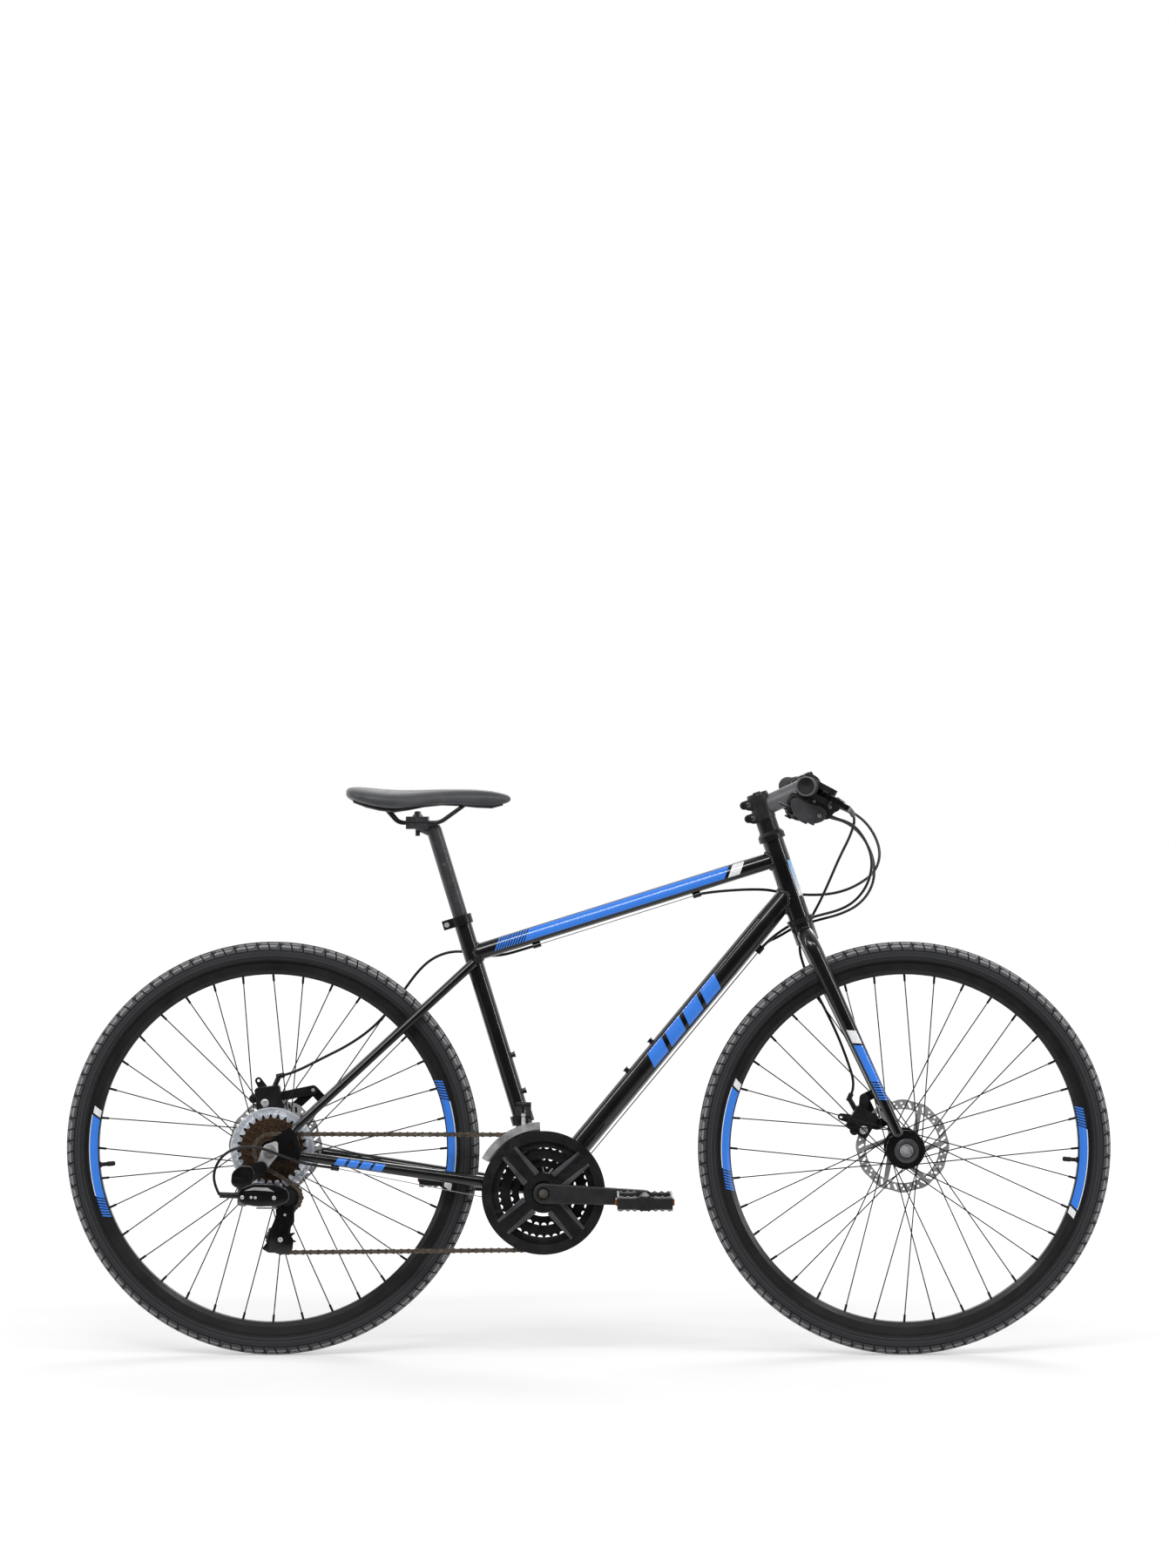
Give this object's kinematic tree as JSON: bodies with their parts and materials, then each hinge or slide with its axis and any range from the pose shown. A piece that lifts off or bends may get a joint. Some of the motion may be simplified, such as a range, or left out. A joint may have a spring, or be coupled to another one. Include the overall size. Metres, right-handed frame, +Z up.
{
  "type": "hybrid bike",
  "caption": "Flat-bar hybrid bicycle with disc brakes, a chainset with guard, front and rear derailleurs, turning wheels, cranks and steering.",
  "frame": {"origin": "on the ground, at the middle of the bicycle's length and width", "axes": "+X forward, +Y to the rider's left, +Z up; the drive side is at -Y"},
  "size_m": [1.7748, 0.6304, 0.9912],
  "materials": {
    "frame_paint": "gloss",
    "black_alloy": "satin black",
    "black_steel": "satin black",
    "silver_steel": "zinc plated",
    "brown_steel": "oiled brown",
    "black_plastic": "matt",
    "pulley_plastic": "matt",
    "tyre_rubber": "matt",
    "grip_rubber": "matt",
    "cable_housing": "gloss",
    "saddle_vinyl": "grained vinyl"
  },
  "bodies": {
    "frame": {"frame": "frame_paint", "derailleur_hanger": "silver_steel", "frame_bearings": "black_steel", "seatpost_collar": "black_alloy", "rear_axle": "silver_steel", "front_derailleur_clamp": "black_steel", "rear_caliper": "black_alloy", "frame_fasteners": "silver_steel", "frame_cables": "cable_housing", "chain": "brown_steel"},
    "fork": {"fork": "frame_paint", "headset_stack": "black_alloy", "stem": "black_alloy", "stem_faceplate": "black_alloy", "handlebar": "black_alloy", "grips": "grip_rubber", "control_housings": "black_plastic", "front_axle": "silver_steel", "front_caliper": "black_alloy", "front_brake_cable": "cable_housing", "cockpit_fasteners": "silver_steel"},
    "front_wheel": {"front_tyre": "tyre_rubber", "front_rim": "black_alloy", "front_spokes": "black_steel", "front_hub": "black_alloy", "front_rotor": "silver_steel"},
    "rear_wheel": {"rear_tyre": "tyre_rubber", "rear_rim": "black_alloy", "rear_spokes": "black_steel", "rear_hub": "black_alloy", "rear_rotor": "silver_steel", "spoke_protector": "black_plastic"},
    "freewheel": {"freewheel": "brown_steel"},
    "crank": {"right_crank_arm": "black_alloy", "left_crank_arm": "black_alloy", "chainrings": "black_steel", "chain_guard": "black_plastic", "crank_axles": "silver_steel"},
    "seat": {"seatpost": "black_alloy", "saddle_base": "black_plastic", "saddle_cover": "saddle_vinyl"},
    "right_pedal": {"right_pedal": "black_alloy"},
    "left_pedal": {"left_pedal": "black_alloy"},
    "right_brake_lever": {"right_brake_lever": "black_alloy"},
    "left_brake_lever": {"left_brake_lever": "black_alloy"},
    "right_thumb_lever": {"right_thumb_lever": "black_plastic"},
    "right_trigger": {"right_trigger": "black_plastic"},
    "left_thumb_lever": {"left_thumb_lever": "black_plastic"},
    "left_trigger": {"left_trigger": "black_plastic"},
    "front_brake_arm": {"front_brake_arm": "black_steel"},
    "rear_brake_arm": {"rear_brake_arm": "black_steel"},
    "rd_knuckle": {"rd_knuckle": "black_plastic"},
    "rd_outer_link": {"rd_outer_link": "black_alloy"},
    "rd_inner_link": {"rd_inner_link": "black_alloy"},
    "rd_cage_knuckle": {"rd_cage_knuckle": "black_plastic"},
    "rd_cage": {"rd_cage": "black_steel"},
    "guide_pulley": {"guide_pulley": "pulley_plastic"},
    "tension_pulley": {"tension_pulley": "pulley_plastic"},
    "fd_links": {"fd_links": "black_steel"},
    "fd_cage": {"fd_cage": "silver_steel"}
  },
  "joints": [
    {"name": "steering", "type": "hinge", "parent": "frame", "child": "fork", "pos_m": [0.35839, 0, 0.74233], "axis": [-0.3256, 0, 0.9455], "range_deg": [-60, 60], "deforming": ["frame_cables"]},
    {"name": "front_wheel_spin", "type": "hinge", "parent": "fork", "child": "front_wheel", "pos_m": [0.5365, 0, 0.351], "axis": [0, 1, 0], "continuous": true},
    {"name": "rear_wheel_spin", "type": "hinge", "parent": "frame", "child": "rear_wheel", "pos_m": [-0.5365, 0, 0.351], "axis": [0, 1, 0], "continuous": true},
    {"name": "crank_spin", "type": "hinge", "parent": "frame", "child": "crank", "pos_m": [-0.07629, 0, 0.281], "axis": [0, 1, 0], "continuous": true, "deforming": ["chain"]},
    {"name": "freewheel_spin", "type": "hinge", "parent": "frame", "child": "freewheel", "pos_m": [-0.5365, 0, 0.351], "axis": [0, 1, 0], "continuous": true},
    {"name": "seat_slide", "type": "slide", "parent": "frame", "child": "seat", "axis": [-0.2924, 0, 0.9563], "range_m": [-0.09, 0.05]},
    {"name": "rd_mount_pivot", "type": "hinge", "parent": "frame", "child": "rd_knuckle", "pos_m": [-0.5508, 0, 0.325], "axis": [0, 1, 0], "range_deg": [0, 15], "stiffness_Nm_per_rad": 4, "springref_deg": -22.92},
    {"name": "rd_cage_pivot", "type": "hinge", "parent": "rd_cage_knuckle", "child": "rd_cage", "pos_m": [-0.5073, 0, 0.2731], "axis": [0, 1, 0], "range_deg": [-25, 35], "stiffness_Nm_per_rad": 0.5},
    {"name": "guide_pulley_spin", "type": "hinge", "parent": "rd_cage", "child": "guide_pulley", "pos_m": [-0.5073, 0, 0.2731], "axis": [0, 1, 0], "continuous": true},
    {"name": "tension_pulley_spin", "type": "hinge", "parent": "rd_cage", "child": "tension_pulley", "pos_m": [-0.51946, 0, 0.20214], "axis": [0, 1, 0], "continuous": true},
    {"name": "rd_outer_link_pivot", "type": "hinge", "parent": "rd_knuckle", "child": "rd_outer_link", "pos_m": [-0.5808, -0.086, 0.278], "axis": [0, 0.4226, 0.9063], "range_deg": [0, 33], "stiffness_Nm_per_rad": 1, "springref_deg": -28.65},
    {"name": "rd_inner_link_pivot", "type": "hinge", "parent": "rd_knuckle", "child": "rd_inner_link", "pos_m": [-0.5808, -0.07697, 0.27379], "axis": [0, 0.4226, 0.9063], "range_deg": [0, 33]},
    {"name": "rd_cage_knuckle_pivot", "type": "hinge", "parent": "rd_outer_link", "child": "rd_cage_knuckle", "pos_m": [-0.5268, -0.08113, 0.27573], "axis": [0, 0.4226, 0.9063], "range_deg": [-33, 0]},
    {"name": "fd_link_pivot", "type": "hinge", "parent": "frame", "child": "fd_links", "pos_m": [-0.11029, -0.033, 0.427], "axis": [1, 0, 0], "range_deg": [0, 39], "stiffness_Nm_per_rad": 1, "springref_deg": -17.19},
    {"name": "fd_cage_pivot", "type": "hinge", "parent": "fd_links", "child": "fd_cage", "pos_m": [-0.11029, -0.044, 0.409], "axis": [1, 0, 0], "range_deg": [-39, 0]},
    {"name": "right_lever_pivot", "type": "hinge", "parent": "fork", "child": "right_brake_lever", "pos_m": [0.39767, -0.16877, 0.94933], "axis": [-0.4691, 0.041, -0.8822], "range_deg": [0, 14], "stiffness_Nm_per_rad": 1.5, "springref_deg": -8.59},
    {"name": "right_thumb_pivot", "type": "hinge", "parent": "fork", "child": "right_thumb_lever", "pos_m": [0.35095, -0.13042, 0.92382], "axis": [-0.4691, 0.041, -0.8822], "range_deg": [0, 25], "stiffness_Nm_per_rad": 0.3, "springref_deg": -8.59},
    {"name": "right_trigger_pivot", "type": "hinge", "parent": "fork", "child": "right_trigger", "pos_m": [0.35095, -0.13042, 0.92382], "axis": [0.4691, -0.041, 0.8822], "range_deg": [0, 20], "stiffness_Nm_per_rad": 0.3, "springref_deg": -8.59},
    {"name": "right_pedal_spin", "type": "hinge", "parent": "crank", "child": "right_pedal", "pos_m": [0.09356, -0.082, 0.27388], "axis": [0, 1, 0], "continuous": true},
    {"name": "left_lever_pivot", "type": "hinge", "parent": "fork", "child": "left_brake_lever", "pos_m": [0.39767, 0.16877, 0.94933], "axis": [0.4691, 0.041, 0.8822], "range_deg": [0, 14], "stiffness_Nm_per_rad": 1.5, "springref_deg": -8.59},
    {"name": "left_thumb_pivot", "type": "hinge", "parent": "fork", "child": "left_thumb_lever", "pos_m": [0.35095, 0.13042, 0.92382], "axis": [0.4691, 0.041, 0.8822], "range_deg": [0, 25], "stiffness_Nm_per_rad": 0.3, "springref_deg": -8.59},
    {"name": "left_trigger_pivot", "type": "hinge", "parent": "fork", "child": "left_trigger", "pos_m": [0.35095, 0.13042, 0.92382], "axis": [-0.4691, -0.041, -0.8822], "range_deg": [0, 20], "stiffness_Nm_per_rad": 0.3, "springref_deg": -8.59},
    {"name": "left_pedal_spin", "type": "hinge", "parent": "crank", "child": "left_pedal", "pos_m": [-0.24614, 0.082, 0.28812], "axis": [0, 1, 0], "continuous": true},
    {"name": "front_arm_pivot", "type": "hinge", "parent": "fork", "child": "front_brake_arm", "pos_m": [0.46793, 0, 0.3922], "axis": [0, 1, 0], "range_deg": [0, 18]},
    {"name": "rear_arm_pivot", "type": "hinge", "parent": "frame", "child": "rear_brake_arm", "pos_m": [-0.54763, 0, 0.43022], "axis": [0, 1, 0], "range_deg": [0, 18]}
  ],
  "couplings": [
    {"joint": "freewheel_spin", "follows": "crank_spin", "ratio": 3.4286},
    {"joint": "guide_pulley_spin", "follows": "crank_spin", "ratio": -4.3636},
    {"joint": "tension_pulley_spin", "follows": "crank_spin", "ratio": 4.3636},
    {"joint": "rd_inner_link_pivot", "follows": "rd_outer_link_pivot", "ratio": 1},
    {"joint": "rd_cage_knuckle_pivot", "follows": "rd_outer_link_pivot", "ratio": -1},
    {"joint": "fd_cage_pivot", "follows": "fd_link_pivot", "ratio": -1},
    {"joint": "front_arm_pivot", "follows": "right_lever_pivot", "ratio": 1.2857},
    {"joint": "rear_arm_pivot", "follows": "left_lever_pivot", "ratio": 1.2857}
  ]
}
